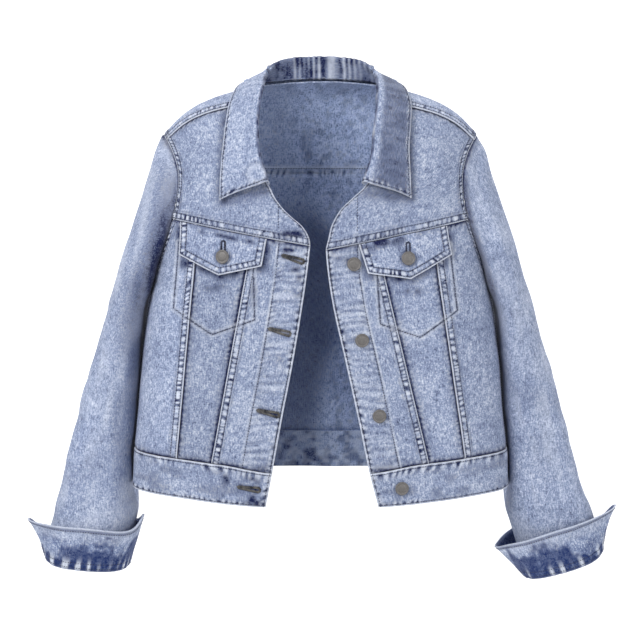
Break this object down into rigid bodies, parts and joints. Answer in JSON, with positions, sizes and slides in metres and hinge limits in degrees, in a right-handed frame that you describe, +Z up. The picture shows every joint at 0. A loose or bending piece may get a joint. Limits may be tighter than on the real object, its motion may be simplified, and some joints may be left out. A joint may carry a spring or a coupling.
{
  "type": "denim jacket",
  "caption": "Cropped denim jacket, worn open and hollow, with a turned-down collar, chest flaps, a waistband and turned-up flared cuffs.",
  "frame": {"origin": "middle of the neck, level with the neck ends of the shoulders, where a wearer or a hidden form holds the jacket", "axes": "+X to the wearer's left, +Y behind the wearer, +Z up"},
  "size_m": [0.764, 0.2334, 0.6726],
  "materials": {
    "denim": "light acid-washed cotton twill",
    "denim_dark": "darker face of the washed twill on the turned-up cuffs",
    "denim_inside": "inside of the washed twill",
    "button_metal": "matt worn metal"
  },
  "bodies": {
    "root": {"back_yoke": "denim", "back_panel": "denim", "waistband": "denim", "collar": "denim", "right_front_yoke": "denim", "right_centre_front": "denim", "right_middle_front": "denim", "right_side_front": "denim", "right_pocket_flap": "denim", "right_sleeve": "denim", "right_front_facing": "denim_inside", "right_pocket_bag": "denim_inside", "right_cuff": "denim_dark", "right_flap_button": "button_metal", "left_front_yoke": "denim", "left_centre_front": "denim", "left_middle_front": "denim", "left_side_front": "denim", "left_pocket_flap": "denim", "left_sleeve": "denim", "left_front_facing": "denim_inside", "left_pocket_bag": "denim_inside", "left_cuff": "denim_dark", "left_flap_button": "button_metal", "collar_button": "button_metal", "chest_button": "button_metal", "middle_button": "button_metal", "lower_button": "button_metal", "waistband_button": "button_metal"}
  },
  "joints": []
}
